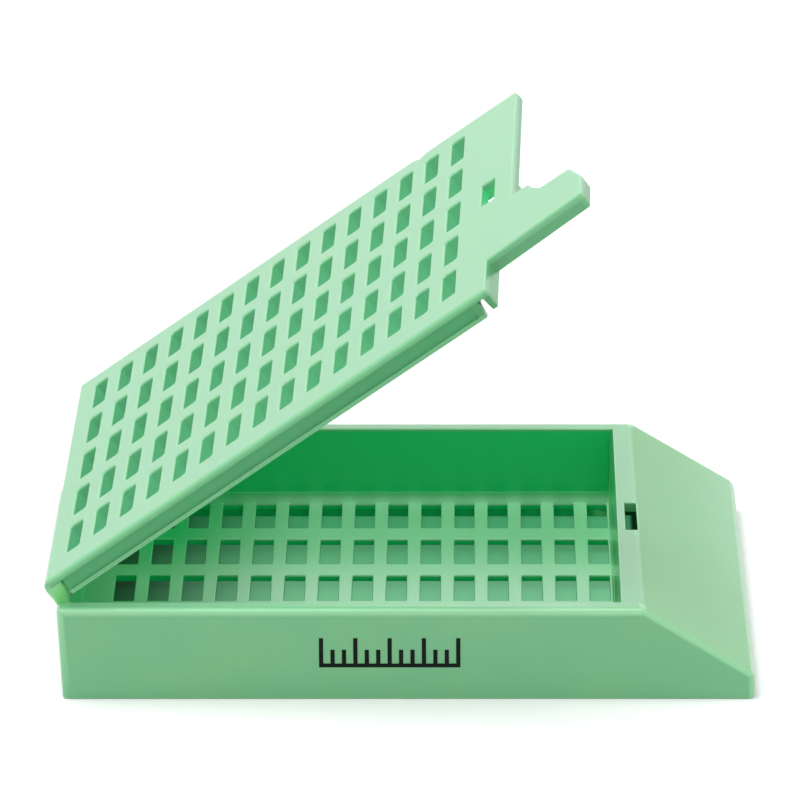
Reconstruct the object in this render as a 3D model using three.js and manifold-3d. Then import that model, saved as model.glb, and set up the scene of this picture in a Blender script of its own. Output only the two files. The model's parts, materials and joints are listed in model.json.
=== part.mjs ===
// Hinged tissue cassette: a perforated tray with a sloping writing face, and a perforated lid
// that hangs on two thin moulded straps. Millimetres, +Z up, +X towards the writing face,
// +Y away from the front wall. The lid is drawn closed and then swung open about its hinge.
import * as THREE from 'three';
import { mergeVertices } from 'three/addons/utils/BufferGeometryUtils.js';
import Module from 'manifold-3d';

const wasm = await Module();
wasm.setup();

// ---- Driving dimensions, tray ----
const trayLength = 40.84;
const trayWidth = 28.5;
const trayHeight = 5.85;
const outerLean = 0.25; // the outer walls lean in by this much at the foot
const rimRound = 0.38; // outer edge of the rim
const planRound = 0.5; // upright corners
const longWall = 1.1; // front and back walls at the rim
const endWall = 0.73; // wall at the hinge end, at the rim
const wellLean = 0.12; // the well narrows by this much from the rim to the kerb
const kerbHeight = 0.7; // kerb round the foot of the well
const kerbDepth = 0.06;
const floorTop = 0.94;
const floorThickness = 0.44;
const stripWidth = 1.46; // flat strip between the well and the writing face
const slopeRun = 6.26;
const toeHeight = 1.5;
const toeRun = 0.22;
const headWall = 0.8; // shell of the hollow wedge under the writing face
const stripThickness = 0.65;

// ---- Driving dimensions, tray floor holes ----
const floorHole = { along: 1.23, across: 3.9 };
const floorPitch = { along: 2.047, across: 5.507 };
const floorMargin = 0.16; // between the last hole and the foot of the well, along the tray

// ---- Driving dimensions, lid ----
const lidRound = 0.36; // long top edges
const lidDepth = 1.5; // grille panel, top to underside
const lipDepth = 0.39; // rim of the lid that overhangs its side faces
const lipOverhang = 0.15;
const panelStart = 0.9; // grille panel, from the hinge edge of the lid
const frontShort = 1.61; // the front part of the lid ends this much before the rear part
const flangeThickness = 0.7;
const hingeEdgeThickness = 0.45;
const endLip = { thickness: 0.42, depth: 1.4, slit: 0.46 };
const lidHole = { along: 1.18, across: 4.0 };
const lidPitch = { along: 1.945, across: 5.129 };
const lidMargin = { along: 0.34, front: 2.41, rear: 1.2 };
const rearNick = { fromEnd: 5.54, taper: 1.75, step: 0.3, depth: 0.36 };

// ---- Driving dimensions, finger tab ----
const tabThickness = 1.0;
const tabFront = 4.35; // near side of the tab at its root
const tabTaper = 0.6;
const tabReach = 6.65; // beyond the front part of the lid
const tabRootWidth = 7.45;
const tabRootReach = 1.35; // beyond the rear part of the lid
const fingerWidth = 5.1;

// ---- Driving dimensions, latch ----
const slot = { width: 1.0, length: 4.1, fromStripEdge: 0.53, offMiddle: -0.45 };
const tongue = { thickness: 0.36, sideClearance: 0.65, reach: 1.9, barb: 0.12, barbHeight: 0.4 };
const latchClearance = 0.25; // closed tongue to the near side of the slot
const window = { fromPanel: 0.25, width: 0.9, length: 3.4, offMiddle: 0.75 };

// ---- Driving dimensions, hinge ----
const closedInset = 0.7; // hinge edge of the closed lid, from the end of the tray
const closedGap = 0.15; // closed grille panel above the rim
const hingeOut = 0.486; // hinge line outside the end of the tray, at mid width
const hingeRise = 0.4145; // hinge line above the rim, at mid width
const hingeSkewPlan = 2.05; // degrees: the straps hold the lid slightly askew
const hingeSkewTilt = 2.89;
const openAngle = 36.39;
const strap = { thickness: 0.34, gap: 1.6, margin: 0.35, clearance: 0.3 };

const arcSteps = 5;
const beyond = 2; // how far cutting shapes run past the body

// ---- Places worked out from the dimensions ----
const stripEnd = trayLength - toeRun - slopeRun;
const wellEnd = stripEnd - stripWidth;
const kerbTop = floorTop + kerbHeight;
const slotStart = wellEnd + slot.fromStripEdge;
const lidTopClosed = trayHeight + closedGap + lidDepth;
const midWidth = trayWidth / 2;
const slotMiddle = midWidth + slot.offMiddle;
const rearLength = slotStart + latchClearance + tongue.thickness - closedInset;
const frontLength = rearLength - frontShort;
const panelEnd = frontLength - endLip.thickness - endLip.slit;
const strapLength = (trayWidth - strap.gap) / 2 - strap.margin;

// ---- Solids from closed meshes ----
function solidOf(geometry) {
  const bare = geometry.index ? geometry.toNonIndexed() : geometry.clone();
  bare.deleteAttribute('normal');
  bare.deleteAttribute('uv');
  const merged = mergeVertices(bare, 1e-5);
  return new wasm.Manifold(new wasm.Mesh({
    numProp: 3,
    vertProperties: new Float32Array(merged.attributes.position.array),
    triVerts: new Uint32Array(merged.index.array),
  }));
}

function geometryOf(solid) {
  const mesh = solid.getMesh();
  const geometry = new THREE.BufferGeometry();
  geometry.setAttribute('position', new THREE.BufferAttribute(mesh.vertProperties, 3));
  geometry.setIndex(new THREE.BufferAttribute(mesh.triVerts, 1));
  geometry.computeVertexNormals();
  return geometry;
}

function extrude(shape, depth) {
  return new THREE.ExtrudeGeometry(shape, { depth, bevelEnabled: false, curveSegments: arcSteps });
}

// A plan outline (x, y) raised from z = low to z = high.
function raised(shape, low, high) {
  return solidOf(extrude(shape, high - low).translate(0, 0, low));
}

// A side outline (x, z) swept across the width, from y = near to y = far.
function sweptAcross(shape, near, far) {
  const geometry = extrude(shape, far - near).rotateX(Math.PI / 2).translate(0, far, 0);
  return solidOf(geometry);
}

// An end outline (y, z) swept along the length, from x = start to x = end.
function sweptAlong(shape, start, end) {
  const turn = new THREE.Matrix4().makeBasis(
    new THREE.Vector3(0, 1, 0), new THREE.Vector3(0, 0, 1), new THREE.Vector3(1, 0, 0));
  return solidOf(extrude(shape, end - start).applyMatrix4(turn).translate(start, 0, 0));
}

function block(low, high) {
  const geometry = new THREE.BoxGeometry(high[0] - low[0], high[1] - low[1], high[2] - low[2]);
  geometry.translate((low[0] + high[0]) / 2, (low[1] + high[1]) / 2, (low[2] + high[2]) / 2);
  return solidOf(geometry);
}

function polygon(points) {
  return new THREE.Shape(points.map(([a, b]) => new THREE.Vector2(a, b)));
}

function roundedRectangle(low, high, radius) {
  const shape = new THREE.Shape();
  shape.moveTo(low[0] + radius, low[1]);
  shape.lineTo(high[0] - radius, low[1]);
  shape.absarc(high[0] - radius, low[1] + radius, radius, -Math.PI / 2, 0, false);
  shape.lineTo(high[0], high[1] - radius);
  shape.absarc(high[0] - radius, high[1] - radius, radius, 0, Math.PI / 2, false);
  shape.lineTo(low[0] + radius, high[1]);
  shape.absarc(low[0] + radius, high[1] - radius, radius, Math.PI / 2, Math.PI, false);
  shape.lineTo(low[0], low[1] + radius);
  shape.absarc(low[0] + radius, low[1] + radius, radius, Math.PI, 1.5 * Math.PI, false);
  return shape;
}

// How many holes of one size fit at a pitch in a span.
function holeCount(span, hole, pitch) {
  return Math.floor((span - hole) / pitch + 1e-6) + 1;
}

// A grid of upright cutters, one for each hole; first is the lowest corner of the first hole.
function holeGrid(first, columns, rows, hole, pitch, low, high) {
  const cutters = [];
  for (let column = 0; column < columns; column += 1) {
    for (let row = 0; row < rows; row += 1) {
      const x = first[0] + column * pitch.along;
      const y = first[1] + row * pitch.across;
      cutters.push(block([x, y, low], [x + hole.along, y + hole.across, high]));
    }
  }
  return wasm.Manifold.union(cutters);
}

// ---- Tray ----
// Outline across one direction of the well: leaning walls, then the kerb at the foot.
function wellOutline(near, far) {
  const kerbNear = near + wellLean;
  const kerbFar = far - wellLean;
  return polygon([
    [near, trayHeight + beyond], [near, trayHeight], [kerbNear, kerbTop],
    [kerbNear + kerbDepth, floorTop], [kerbFar - kerbDepth, floorTop],
    [kerbFar, kerbTop], [far, trayHeight], [far, trayHeight + beyond],
  ].reverse());
}

function trayBody() {
  const side = polygon([
    [outerLean, 0], [trayLength, 0], [trayLength, toeHeight - toeRun], [trayLength - toeRun, toeHeight],
    [stripEnd, trayHeight], [rimRound, trayHeight], [rimRound * 0.3, trayHeight - rimRound * 0.3],
    [0, trayHeight - rimRound],
  ]);
  const end = new THREE.Shape();
  end.moveTo(outerLean, 0);
  end.lineTo(trayWidth - outerLean, 0);
  end.lineTo(trayWidth, trayHeight - rimRound);
  end.absarc(trayWidth - rimRound, trayHeight - rimRound, rimRound, 0, Math.PI / 2, false);
  end.lineTo(rimRound, trayHeight);
  end.absarc(rimRound, trayHeight - rimRound, rimRound, Math.PI / 2, Math.PI, false);
  const plan = roundedRectangle([0, 0], [trayLength, trayWidth], planRound);
  return sweptAcross(side, -beyond, trayWidth + beyond)
    .intersect(sweptAlong(end, -beyond, trayLength + beyond))
    .intersect(raised(plan, -beyond, trayHeight + beyond));
}

function trayWell() {
  return sweptAlong(wellOutline(longWall, trayWidth - longWall), -beyond, trayLength + beyond)
    .intersect(sweptAcross(wellOutline(endWall, wellEnd), -beyond, trayWidth + beyond));
}

// Hollow of the wedge: a strip roof, then a roof parallel to the writing face, open below.
function headHollow() {
  const slopeAngle = Math.atan2(trayHeight - toeHeight, slopeRun);
  const roofDrop = headWall / Math.cos(slopeAngle);
  const hollowEnd = trayLength - headWall;
  const roofAt = (x) => trayHeight - (x - stripEnd) * Math.tan(slopeAngle) - roofDrop;
  const roofTurn = stripEnd - (roofDrop - stripThickness) / Math.tan(slopeAngle);
  const outline = polygon([
    [slotStart, -beyond], [hollowEnd, -beyond], [hollowEnd, roofAt(hollowEnd)],
    [roofTurn, trayHeight - stripThickness], [slotStart, trayHeight - stripThickness],
  ]);
  return sweptAcross(outline, longWall, trayWidth - longWall);
}

function trayUnderside() {
  const wallFoot = longWall + wellLean;
  return block([endWall + wellLean, wallFoot, -beyond],
    [wellEnd - wellLean, trayWidth - wallFoot, floorTop - floorThickness]);
}

function floorHoles() {
  const inset = wellLean + kerbDepth;
  const nearest = longWall + inset;
  const last = wellEnd - inset - floorMargin;
  const spanAlong = last - (endWall + inset + floorMargin);
  const spanAcross = trayWidth - 2 * nearest;
  const columns = holeCount(spanAlong, floorHole.along, floorPitch.along);
  const rows = holeCount(spanAcross, floorHole.across, floorPitch.across);
  const used = (rows - 1) * floorPitch.across + floorHole.across;
  const first = [
    last - floorHole.along - (columns - 1) * floorPitch.along,
    (trayWidth - used) / 2,
  ];
  return holeGrid(first, columns, rows, floorHole, floorPitch, -beyond, floorTop + kerbHeight / 4);
}

function latchSlot() {
  const near = slotMiddle - slot.length / 2;
  return block([slotStart, near, trayHeight - stripThickness - beyond / 4],
    [slotStart + slot.width, near + slot.length, trayHeight + beyond]);
}

function makeTray() {
  return trayBody().subtract(trayWell()).subtract(headHollow()).subtract(trayUnderside())
    .subtract(floorHoles()).subtract(latchSlot());
}

// ---- Lid, drawn closed with its hinge edge at x = 0 and its top face at z = 0 ----
function lidSection() {
  const shape = new THREE.Shape();
  shape.moveTo(lipOverhang, -lidDepth);
  shape.lineTo(trayWidth - lipOverhang, -lidDepth);
  shape.lineTo(trayWidth - lipOverhang, -lipDepth);
  shape.lineTo(trayWidth, -lipDepth);
  shape.absarc(trayWidth - lidRound, -lidRound, lidRound, 0, Math.PI / 2, false);
  shape.lineTo(lidRound, 0);
  shape.absarc(lidRound, -lidRound, lidRound, Math.PI / 2, Math.PI, false);
  shape.lineTo(0, -lipDepth);
  shape.lineTo(lipOverhang, -lipDepth);
  return shape;
}

function lidOutline() {
  const nickEnd = rearLength - rearNick.fromEnd;
  const nickBottom = nickEnd - rearNick.taper;
  const corner = planRound;
  const shape = new THREE.Shape();
  shape.moveTo(corner, 0);
  shape.lineTo(frontLength, 0);
  shape.lineTo(frontLength, tabFront + tabRootWidth / 2);
  shape.lineTo(rearLength, tabFront + tabRootWidth / 2);
  shape.lineTo(rearLength, trayWidth - corner);
  shape.absarc(rearLength - corner, trayWidth - corner, corner, 0, Math.PI / 2, false);
  shape.lineTo(nickEnd, trayWidth);
  shape.lineTo(nickBottom, trayWidth - rearNick.depth);
  shape.lineTo(nickBottom - rearNick.step, trayWidth);
  shape.lineTo(corner, trayWidth);
  shape.absarc(corner, trayWidth - corner, corner, Math.PI / 2, Math.PI, false);
  shape.lineTo(0, corner);
  shape.absarc(corner, corner, corner, Math.PI, 1.5 * Math.PI, false);
  return shape;
}

function tabOutline() {
  const tip = frontLength + tabReach;
  const rootEnd = rearLength + tabRootReach;
  const rootFar = tabFront + tabRootWidth;
  const fingerFar = tabFront + tabTaper + fingerWidth;
  const bevel = fingerWidth * 0.2;
  return polygon([
    [frontLength - endLip.thickness, tabFront], [tip - bevel / 3, tabFront + tabTaper],
    [tip, tabFront + tabTaper + bevel / 3], [tip, fingerFar - 2 * bevel],
    [tip - bevel, fingerFar], [rootEnd + bevel * 0.8, fingerFar],
    [rootEnd + bevel * 0.3, rootFar - bevel * 0.5], [rootEnd, rootFar],
    [frontLength - endLip.thickness, rootFar],
  ]);
}

function lidHoles() {
  const first = [panelStart + lidMargin.along, lidMargin.front];
  const spanAlong = panelEnd - lidMargin.along - first[0];
  const spanAcross = trayWidth - lidMargin.rear - first[1];
  const columns = holeCount(spanAlong, lidHole.along, lidPitch.along);
  const rows = holeCount(spanAcross, lidHole.across, lidPitch.across);
  return holeGrid(first, columns, rows, lidHole, lidPitch, -lidDepth - beyond, beyond);
}

function latchTongue() {
  const start = rearLength - tongue.thickness;
  const root = -flangeThickness / 2;
  const tip = -flangeThickness - tongue.reach;
  const outline = polygon([
    [start, root], [start, tip], [rearLength - tongue.barb, tip],
    [rearLength + tongue.barb, tip + tongue.barbHeight / 2], [rearLength, tip + tongue.barbHeight],
    [rearLength, root],
  ]);
  const halfLength = slot.length / 2 - tongue.sideClearance;
  return sweptAcross(outline, slotMiddle - halfLength, slotMiddle + halfLength);
}

function makeLid() {
  const panel = block([panelStart, -beyond, -lidDepth], [panelEnd, trayWidth + beyond, 0]);
  const hingeEdge = block([-beyond, -beyond, -hingeEdgeThickness], [panelStart, trayWidth + beyond, 0]);
  const flange = block([panelEnd, -beyond, -flangeThickness], [rearLength, trayWidth + beyond, 0]);
  const outline = raised(lidOutline(), -lidDepth, 0);
  const plate = panel.add(hingeEdge).add(flange)
    .intersect(sweptAlong(lidSection(), -beyond, rearLength + beyond)).intersect(outline);
  const lip = block([frontLength - endLip.thickness, lipOverhang, -endLip.depth],
    [frontLength, tabFront + tabThickness / 2, -flangeThickness / 2]);
  const windowStart = panelEnd + window.fromPanel;
  const windowNear = midWidth + window.offMiddle - window.length / 2;
  const opening = block([windowStart, windowNear, -flangeThickness - beyond / 4],
    [windowStart + window.width, windowNear + window.length, beyond]);
  return plate.add(lip).add(raised(tabOutline(), -tabThickness, 0)).add(latchTongue())
    .subtract(lidHoles()).subtract(opening);
}

// ---- Hinge ----
const toRadians = Math.PI / 180;
const hingeAxis = new THREE.Vector3(
  Math.sin(hingeSkewPlan * toRadians) * Math.cos(hingeSkewTilt * toRadians),
  -Math.cos(hingeSkewPlan * toRadians) * Math.cos(hingeSkewTilt * toRadians),
  -Math.sin(hingeSkewTilt * toRadians));
const hingePoint = new THREE.Vector3(-hingeOut, midWidth, trayHeight + hingeRise);
const closedLid = new THREE.Vector3(closedInset, 0, lidTopClosed);

const hinge = new THREE.Group();
hinge.position.copy(hingePoint);
hinge.quaternion.setFromAxisAngle(hingeAxis, openAngle * toRadians);

// Where a point of the lid, given in the lid's own frame, lies once the lid is open.
function openPlace(x, y, z) {
  return new THREE.Vector3(x, y, z).add(closedLid).sub(hingePoint)
    .applyQuaternion(hinge.quaternion).add(hingePoint);
}

// A strap stands on the rim and reaches up to the underside of the lid's hinge edge.
function makeStrap(near) {
  const far = near + strapLength;
  const foot = trayHeight + strap.clearance;
  const lowest = [near, far].map((y) => openPlace(0, y, -hingeEdgeThickness));
  const top = Math.min(...lowest.map((place) => place.z)) - strap.clearance;
  const lean = lowest[0].x;
  const outline = polygon([
    [strap.thickness * 0.3, foot], [strap.thickness * 1.3, foot],
    [lean + strap.thickness, top], [lean, top],
  ]);
  return sweptAcross(outline, near, far);
}

// ---- Scene graph ----
const plastic = (color) => new THREE.MeshStandardMaterial({
  color, roughness: 0.42, metalness: 0, flatShading: true,
});

function named(name, solid, color) {
  const mesh = new THREE.Mesh(geometryOf(solid), plastic(color));
  mesh.name = name;
  return mesh;
}

const lid = named('lid', makeLid(), 0x8fd4a4);
lid.position.copy(closedLid).sub(hingePoint);
hinge.add(lid);

const cassette = new THREE.Group();
cassette.add(named('tray', makeTray(), 0x7cc592));
cassette.add(hinge);
cassette.add(named('hinge_strap_front', makeStrap(strap.margin), 0x86cc8e));
cassette.add(named('hinge_strap_rear', makeStrap(trayWidth - strap.margin - strapLength), 0x86cc8e));

// The origin is on the ground at the middle of the cassette as it stands open.
cassette.updateMatrixWorld(true);
const middle = new THREE.Box3().setFromObject(cassette, true).getCenter(new THREE.Vector3());
cassette.position.set(-middle.x, -middle.y, 0);

const group = new THREE.Group();
group.add(cassette);
export default group;
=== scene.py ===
"""Looks of a hinged tissue cassette: a perforated tray, a perforated lid on film straps, and a studio.

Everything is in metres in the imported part's own frame: +X runs from the hinge end to the writing
face, +Y from the front wall to the back wall, +Z up. The lid is built as if shut and swung open.
"""

import json
import logging
import math
from dataclasses import dataclass
from enum import Enum
from typing import Any, Callable

import bmesh
import bpy
from mathutils import Matrix, Vector

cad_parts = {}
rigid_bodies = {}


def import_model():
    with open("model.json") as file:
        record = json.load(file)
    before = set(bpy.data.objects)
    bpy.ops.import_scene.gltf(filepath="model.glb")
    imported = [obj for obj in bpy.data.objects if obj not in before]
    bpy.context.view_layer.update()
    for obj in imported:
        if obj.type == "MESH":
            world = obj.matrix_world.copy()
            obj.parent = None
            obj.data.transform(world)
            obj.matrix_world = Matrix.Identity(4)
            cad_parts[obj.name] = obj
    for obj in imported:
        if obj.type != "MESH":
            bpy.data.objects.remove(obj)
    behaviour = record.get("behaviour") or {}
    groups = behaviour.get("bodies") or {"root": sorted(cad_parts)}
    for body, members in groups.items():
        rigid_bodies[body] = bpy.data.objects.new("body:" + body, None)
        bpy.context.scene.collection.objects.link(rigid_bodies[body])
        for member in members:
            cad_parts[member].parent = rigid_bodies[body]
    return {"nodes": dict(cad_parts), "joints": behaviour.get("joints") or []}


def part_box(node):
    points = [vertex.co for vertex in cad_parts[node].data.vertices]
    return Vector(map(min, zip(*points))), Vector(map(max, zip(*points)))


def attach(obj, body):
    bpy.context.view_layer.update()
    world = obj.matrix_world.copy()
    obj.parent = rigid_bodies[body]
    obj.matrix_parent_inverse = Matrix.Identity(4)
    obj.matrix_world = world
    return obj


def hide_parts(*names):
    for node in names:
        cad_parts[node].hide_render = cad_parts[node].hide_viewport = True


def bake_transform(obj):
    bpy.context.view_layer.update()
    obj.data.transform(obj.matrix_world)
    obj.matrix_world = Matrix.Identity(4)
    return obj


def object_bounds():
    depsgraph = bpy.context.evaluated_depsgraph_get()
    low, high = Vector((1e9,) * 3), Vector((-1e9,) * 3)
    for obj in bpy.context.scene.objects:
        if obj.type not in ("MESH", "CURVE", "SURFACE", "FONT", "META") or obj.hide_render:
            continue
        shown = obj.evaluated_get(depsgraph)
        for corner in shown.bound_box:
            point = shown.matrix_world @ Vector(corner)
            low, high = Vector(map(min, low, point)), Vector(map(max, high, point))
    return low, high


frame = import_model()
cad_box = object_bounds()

MM = 0.001
TINY = 1e-9
SAME_PLACE = 1e-6
OWN_PLACE = "own_place"
ON_ROUNDING = "on_rounding"
LEAST_TURN = math.radians(26.0)

log = logging.getLogger("tissue_cassette")

Colour = tuple[float, float, float]
Point = tuple[float, float, float]
Band = tuple[float, float]

BLACK: Colour = (0.0, 0.0, 0.0)
WHITE = (1.0, 1.0, 1.0, 1.0)


class Side(Enum):
    """The two ends of the hinge line."""

    FRONT = "front"
    REAR = "rear"


# ---- Shader writing ----


class Value:
    """A shader socket that carries a number; arithmetic on it adds Math nodes."""

    def __init__(self, shader: "Shader", socket: bpy.types.NodeSocket) -> None:
        """Wrap one output socket.

        Args:
            shader: The node tree that the socket belongs to.
            socket: The output socket.
        """
        self.shader = shader
        self.socket = socket

    def _math(self, operation: str, first: Any, second: Any = None) -> "Value":
        """Add one Math node.

        Args:
            operation: The Math node's operation.
            first: Its first input.
            second: Its second input, if it has one.

        Returns:
            The node's result.
        """
        inputs = {0: first} if second is None else {0: first, 1: second}
        return self.shader.node("ShaderNodeMath", {"operation": operation}, inputs)

    def __add__(self, other: Any) -> "Value":
        """Sum."""
        return self._math("ADD", self, other)

    __radd__ = __add__

    def __sub__(self, other: Any) -> "Value":
        """Difference."""
        return self._math("SUBTRACT", self, other)

    def __rsub__(self, other: Any) -> "Value":
        """Difference with the operands the other way round."""
        return self._math("SUBTRACT", other, self)

    def __mul__(self, other: Any) -> "Value":
        """Product."""
        return self._math("MULTIPLY", self, other)

    __rmul__ = __mul__

    def either(self, other: Any) -> "Value":
        """The larger of two values."""
        return self._math("MAXIMUM", self, other)

    def both(self, other: Any) -> "Value":
        """The smaller of two values."""
        return self._math("MINIMUM", self, other)

    def distance_from(self, centre: float) -> "Value":
        """How far the value is from a centre, always positive."""
        return self._math("ABSOLUTE", self - centre)

    def rising(self, band: Band, level: float = 0.0) -> "Value":
        """A soft step from 0 below a band to 1 above it.

        Args:
            band: Where the step starts and ends, counted from the level.
            level: What the band is counted from.

        Returns:
            The step.
        """
        settings = {"interpolation_type": "SMOOTHSTEP"}
        inputs = {0: self, 1: level + band[0], 2: level + band[1]}
        return self.shader.node("ShaderNodeMapRange", settings, inputs)

    def falling(self, band: Band, level: float = 0.0) -> "Value":
        """A soft step from 1 below a band, counted from a level, to 0 above it."""
        return 1 - self.rising(band, level)


class Shader:
    """The node tree of one material or world."""

    def __init__(self, tree: bpy.types.NodeTree) -> None:
        """Take over a tree and empty it.

        Args:
            tree: The tree to fill.
        """
        self.tree = tree
        tree.nodes.clear()

    def node(
        self,
        kind: str,
        settings: dict[str, Any] | None = None,
        inputs: dict[int | str, Any] | None = None,
        output: int | str = 0,
    ) -> Value:
        """Add a node of any type.

        Args:
            kind: The node's type, such as ShaderNodeTexNoise.
            settings: Properties to set first.
            inputs: A Value to link or a constant to set, by socket name or number.
            output: The output socket to return.

        Returns:
            The chosen output.
        """
        made = self.tree.nodes.new(kind)
        for name, setting in (settings or {}).items():
            setattr(made, name, setting)
        for key, given in (inputs or {}).items():
            if isinstance(given, Value):
                self.tree.links.new(given.socket, made.inputs[key])
            else:
                made.inputs[key].default_value = given
        return Value(self, made.outputs[output] if made.outputs else None)

    def mix(self, factor: Any, low: Any, high: Any) -> Value:
        """Blend two colours.

        Args:
            factor: 0 for low, 1 for high.
            low: A colour, as three numbers or a Value.
            high: The other colour.

        Returns:
            The blended colour.
        """
        pair = [c if isinstance(c, Value) else (*c, 1.0) for c in (low, high)]
        settings = {"data_type": "RGBA"}
        return self.node("ShaderNodeMix", settings, {0: factor, 6: pair[0], 7: pair[1]}, 2)

    def place(self) -> tuple[Value, Value, Value, Value]:
        """The point on the piece in its own frame.

        Returns:
            The point as a vector, then its X, Y and Z as numbers.
        """
        point = self.node("ShaderNodeAttribute", {"attribute_name": OWN_PLACE}, output="Vector")
        parts = [self.node("ShaderNodeSeparateXYZ", None, {0: point}, axis) for axis in "XYZ"]
        return point, *parts

    def on_rounding(self) -> Value:
        """1 on the rounding of an outer edge and 0 on flat skin."""
        return self.node("ShaderNodeAttribute", {"attribute_name": ON_ROUNDING}, output="Fac")

    def cloud(self, point: Value, size: float, detail: float = 3.0) -> Value:
        """Soft noise whose blotches are about as wide as size, from 0 to 1."""
        inputs = {"Vector": point, "Scale": 1.0 / size, "Detail": detail, "Roughness": 0.55}
        return self.node("ShaderNodeTexNoise", None, inputs)

    def stretched(self, point: Value, scale: Point) -> Value:
        """The point with each axis scaled on its own, for streaks."""
        settings = {"operation": "MULTIPLY"}
        return self.node("ShaderNodeVectorMath", settings, {0: point, 1: scale})

    def ray(self, kind: str) -> Value:
        """1 for rays of a kind, such as Camera or Glossy, and 0 for others."""
        return self.node("ShaderNodeLightPath", output=f"Is {kind} Ray")


# ---- Finishes ----


Mask = Callable[[Value, Value, Value], Value]


@dataclass(frozen=True)
class MouldedPlastic:
    """Satin moulded plastic, with painted shade that makes it greener and darker in its hollows, painted
    light and a painted glow where it is paler, and a painted highlight on the roundings of its edges.
    """

    name: str
    skin: Colour = (0.144, 0.475, 0.212)
    warm: Colour = (0.158, 0.486, 0.206)
    cool: Colour = (0.134, 0.468, 0.222)
    # A matt colour for the tray's writing face; on the lid a darker colour, painted shade on its side
    # faces.
    chalky_and_painted_shade: Colour = (0.168, 0.468, 0.196)
    # Painted shade: a greener, darker colour for hollows; on the film straps a paler yellow green, painted
    # light through the film.
    painted_shade_and_light: Colour = (0.004, 0.520, 0.145)
    # A painted glow in hollows, standing in for light soaking through the plastic.
    painted_inner_glow: Colour = (0.000, 0.048, 0.010)
    # A painted highlight: a paler colour on the roundings of outer edges.
    edge: Colour = (0.340, 0.720, 0.390)
    painted_highlight_share: float = 0.60
    # Painted light: a paler colour and a painted glow where light would come through.
    thin: Colour = (0.300, 0.740, 0.400)
    painted_pale_glow: Colour = (0.045, 0.110, 0.070)
    roughness: float = 0.33
    unevenness: float = 0.10
    matt_gain: float = 0.14
    gloss: float = 1.0
    gloss_roughness: float = 0.25
    gloss_lost_deep: float = 0.85
    gloss_lost_matt: float = 0.55
    grain: float = 0.16 * MM
    grain_detail: float = 2.0
    grain_depth: float = 0.0022 * MM
    matt_grain: float = 0.112 * MM
    blotch: float = 5.5 * MM
    blotch_band: Band = (0.35, 0.68)
    streak: float = 3.3 * MM
    streak_shape: Point = (0.35, 1.0, 1.0)
    streak_band: Band = (0.3, 0.75)
    streak_share: float = 0.5
    ior: float = 1.5
    scatter: float = 0.22
    scatter_reach: float = 0.55 * MM
    scatter_colours: Colour = (0.55, 1.0, 0.30)

    def material(
        self, depth: Mask, matt: Mask | None = None, thin: Mask | None = None
    ) -> bpy.types.Material:
        """Make the material.

        Args:
            depth: Gives the share of painted shade and painted glow, 0 on open skin and 1 where the
                hollows are darkest, from the point's own X, Y and Z.
            matt: Gives 1 where the skin is left matt, as on a writing face, and 0 elsewhere; on the lid it
                also gives where painted shade darkens the side faces.
            thin: Gives 1 where painted light makes the plastic paler and adds a painted glow, and 0
                elsewhere.

        Returns:
            The material.
        """
        made = bpy.data.materials.new(self.name)
        made.use_nodes = True
        shader = Shader(made.node_tree)
        point, x, y, z = shader.place()
        cloud = shader.cloud(point, self.blotch)
        flow = shader.cloud(shader.stretched(point, self.streak_shape), self.streak)
        fine = shader.cloud(point, self.grain, self.grain_detail)
        sunk_shade = depth(x, y, z)

        tint = shader.mix(cloud.rising(self.blotch_band), self.cool, self.warm)
        tint = shader.mix(flow.rising(self.streak_band) * self.streak_share, tint, self.skin)
        rough = self.roughness + (fine + cloud - 1.0) * self.unevenness
        bump_height = fine * self.grain_depth
        coat = self.gloss - sunk_shade * self.gloss_lost_deep
        if matt is not None:
            # The matt colour; on the lid it is painted shade on the side faces.
            mask = matt(x, y, z)
            tint = shader.mix(mask, tint, self.chalky_and_painted_shade)
            rough = rough + mask * self.matt_gain
            coat = (coat - mask * self.gloss_lost_matt).either(0.0)
            bump_height = bump_height + mask * (shader.cloud(point, self.matt_grain) * self.grain_depth)
        # Painted shade and a painted glow in the hollows.
        tint = shader.mix(sunk_shade, tint, self.painted_shade_and_light)
        glow = shader.mix(sunk_shade, BLACK, self.painted_inner_glow)
        # Painted light: a paler colour and a painted glow.
        if thin is not None:
            painted_pale = thin(x, y, z)
            tint = shader.mix(painted_pale, tint, self.thin)
            glow = shader.mix(painted_pale, glow, self.painted_pale_glow)
        # Painted highlight on the roundings of outer edges.
        tint = shader.mix(shader.on_rounding() * self.painted_highlight_share, tint, self.edge)
        bump_inputs = {"Strength": 1.0, "Distance": 1.0, "Height": bump_height}
        skin = shader.node(
            "ShaderNodeBsdfPrincipled",
            {"subsurface_method": "RANDOM_WALK"},
            {
                "Base Color": tint,
                "Roughness": rough,
                "IOR": self.ior,
                "Subsurface Weight": self.scatter,
                "Subsurface Radius": self.scatter_colours,
                "Subsurface Scale": self.scatter_reach,
                "Coat Weight": coat,
                "Coat Roughness": self.gloss_roughness,
                "Emission Color": glow,
                "Emission Strength": 1.0,
                "Normal": shader.node("ShaderNodeBump", None, bump_inputs),
            },
        )
        shader.node("ShaderNodeOutputMaterial", None, {"Surface": skin})
        return made


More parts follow.
